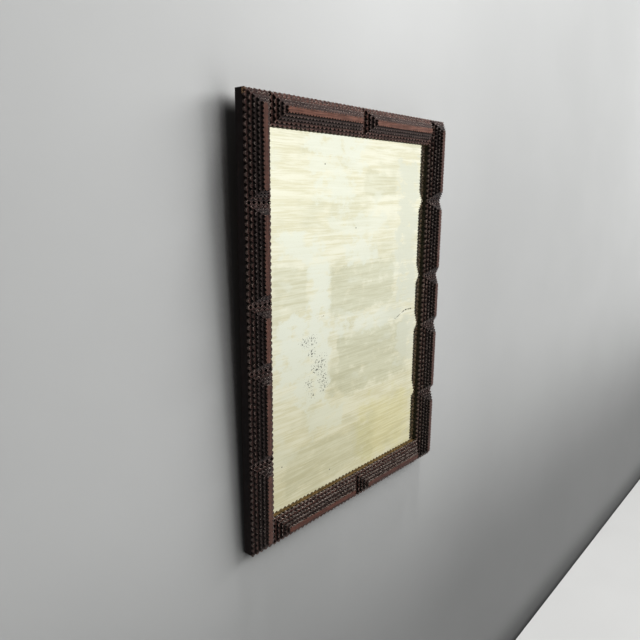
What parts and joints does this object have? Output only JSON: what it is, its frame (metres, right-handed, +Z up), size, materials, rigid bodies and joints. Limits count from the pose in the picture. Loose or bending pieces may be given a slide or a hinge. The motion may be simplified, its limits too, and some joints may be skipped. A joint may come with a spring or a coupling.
{
  "type": "tramp art mirror frame",
  "caption": "Tramp art wall mirror: stepped stacks of notched wooden strips on a dark rectangular frame round an aged mirror glass.",
  "frame": {"origin": "middle of the back plane that rests on the wall", "axes": "+Y into the wall, so the front faces -Y; +Z up; +X to the right as seen from the front"},
  "size_m": [0.514, 0.0406, 0.7],
  "materials": {
    "base_wood": "smooth, dark stained and waxed",
    "lower_strip_wood": "dark stained, worn on the edges",
    "middle_strip_wood": "greyish brown, dusty in the notches",
    "cap_strip_wood": "reddish brown, polished by handling",
    "antique_mirror": "aged silvering with yellow bloom, streaks and black specks",
    "backing_wood": "raw sawn softwood, darkened by age",
    "hanger_brass": "tarnished",
    "dark_steel": "dull, slightly rusted"
  },
  "bodies": {
    "frame": {"left_stile_board": "base_wood", "right_stile_board": "base_wood", "top_rail_board": "base_wood", "bottom_rail_board": "base_wood", "mirror_glass": "antique_mirror", "backing_board_top": "backing_wood", "backing_board_middle": "backing_wood", "backing_board_bottom": "backing_wood", "backing_brads": "dark_steel", "left_stile_1_lower_strips": "lower_strip_wood", "left_stile_1_middle_strips": "middle_strip_wood", "left_stile_1_cap_strip": "cap_strip_wood", "left_stile_2_lower_strips": "lower_strip_wood", "left_stile_2_middle_strips": "middle_strip_wood", "left_stile_2_cap_strip": "cap_strip_wood", "left_stile_3_lower_strips": "lower_strip_wood", "left_stile_3_middle_strips": "middle_strip_wood", "left_stile_3_cap_strip": "cap_strip_wood", "left_stile_4_lower_strips": "lower_strip_wood", "left_stile_4_middle_strips": "middle_strip_wood", "left_stile_4_cap_strip": "cap_strip_wood", "left_stile_5_lower_strips": "lower_strip_wood", "left_stile_5_middle_strips": "middle_strip_wood", "left_stile_5_cap_strip": "cap_strip_wood", "right_stile_1_lower_strips": "lower_strip_wood", "right_stile_1_middle_strips": "middle_strip_wood", "right_stile_1_cap_strip": "cap_strip_wood", "right_stile_2_lower_strips": "lower_strip_wood", "right_stile_2_middle_strips": "middle_strip_wood", "right_stile_2_cap_strip": "cap_strip_wood", "right_stile_3_lower_strips": "lower_strip_wood", "right_stile_3_middle_strips": "middle_strip_wood", "right_stile_3_cap_strip": "cap_strip_wood", "right_stile_4_lower_strips": "lower_strip_wood", "right_stile_4_middle_strips": "middle_strip_wood", "right_stile_4_cap_strip": "cap_strip_wood", "right_stile_5_lower_strips": "lower_strip_wood", "right_stile_5_middle_strips": "middle_strip_wood", "right_stile_5_cap_strip": "cap_strip_wood", "top_rail_1_lower_strips": "lower_strip_wood", "top_rail_1_middle_strips": "middle_strip_wood", "top_rail_1_cap_strip": "cap_strip_wood", "top_rail_2_lower_strips": "lower_strip_wood", "top_rail_2_middle_strips": "middle_strip_wood", "top_rail_2_cap_strip": "cap_strip_wood", "bottom_rail_1_lower_strips": "lower_strip_wood", "bottom_rail_1_middle_strips": "middle_strip_wood", "bottom_rail_1_cap_strip": "cap_strip_wood", "bottom_rail_2_lower_strips": "lower_strip_wood", "bottom_rail_2_middle_strips": "middle_strip_wood", "bottom_rail_2_cap_strip": "cap_strip_wood", "left_hanger_strap": "hanger_brass", "left_hanger_screws": "dark_steel", "right_hanger_strap": "hanger_brass", "right_hanger_screws": "dark_steel"},
    "left_ring": {"left_hanger_ring": "hanger_brass"},
    "right_ring": {"right_hanger_ring": "hanger_brass"}
  },
  "joints": [
    {"name": "left_ring_swing", "type": "hinge", "parent": "frame", "child": "left_ring", "pos_m": [-0.2376, 0.0023, 0.205], "axis": [1, 0, 0], "range_deg": [0, 180]},
    {"name": "right_ring_swing", "type": "hinge", "parent": "frame", "child": "right_ring", "pos_m": [0.2376, 0.0023, 0.205], "axis": [1, 0, 0], "range_deg": [0, 180]}
  ]
}
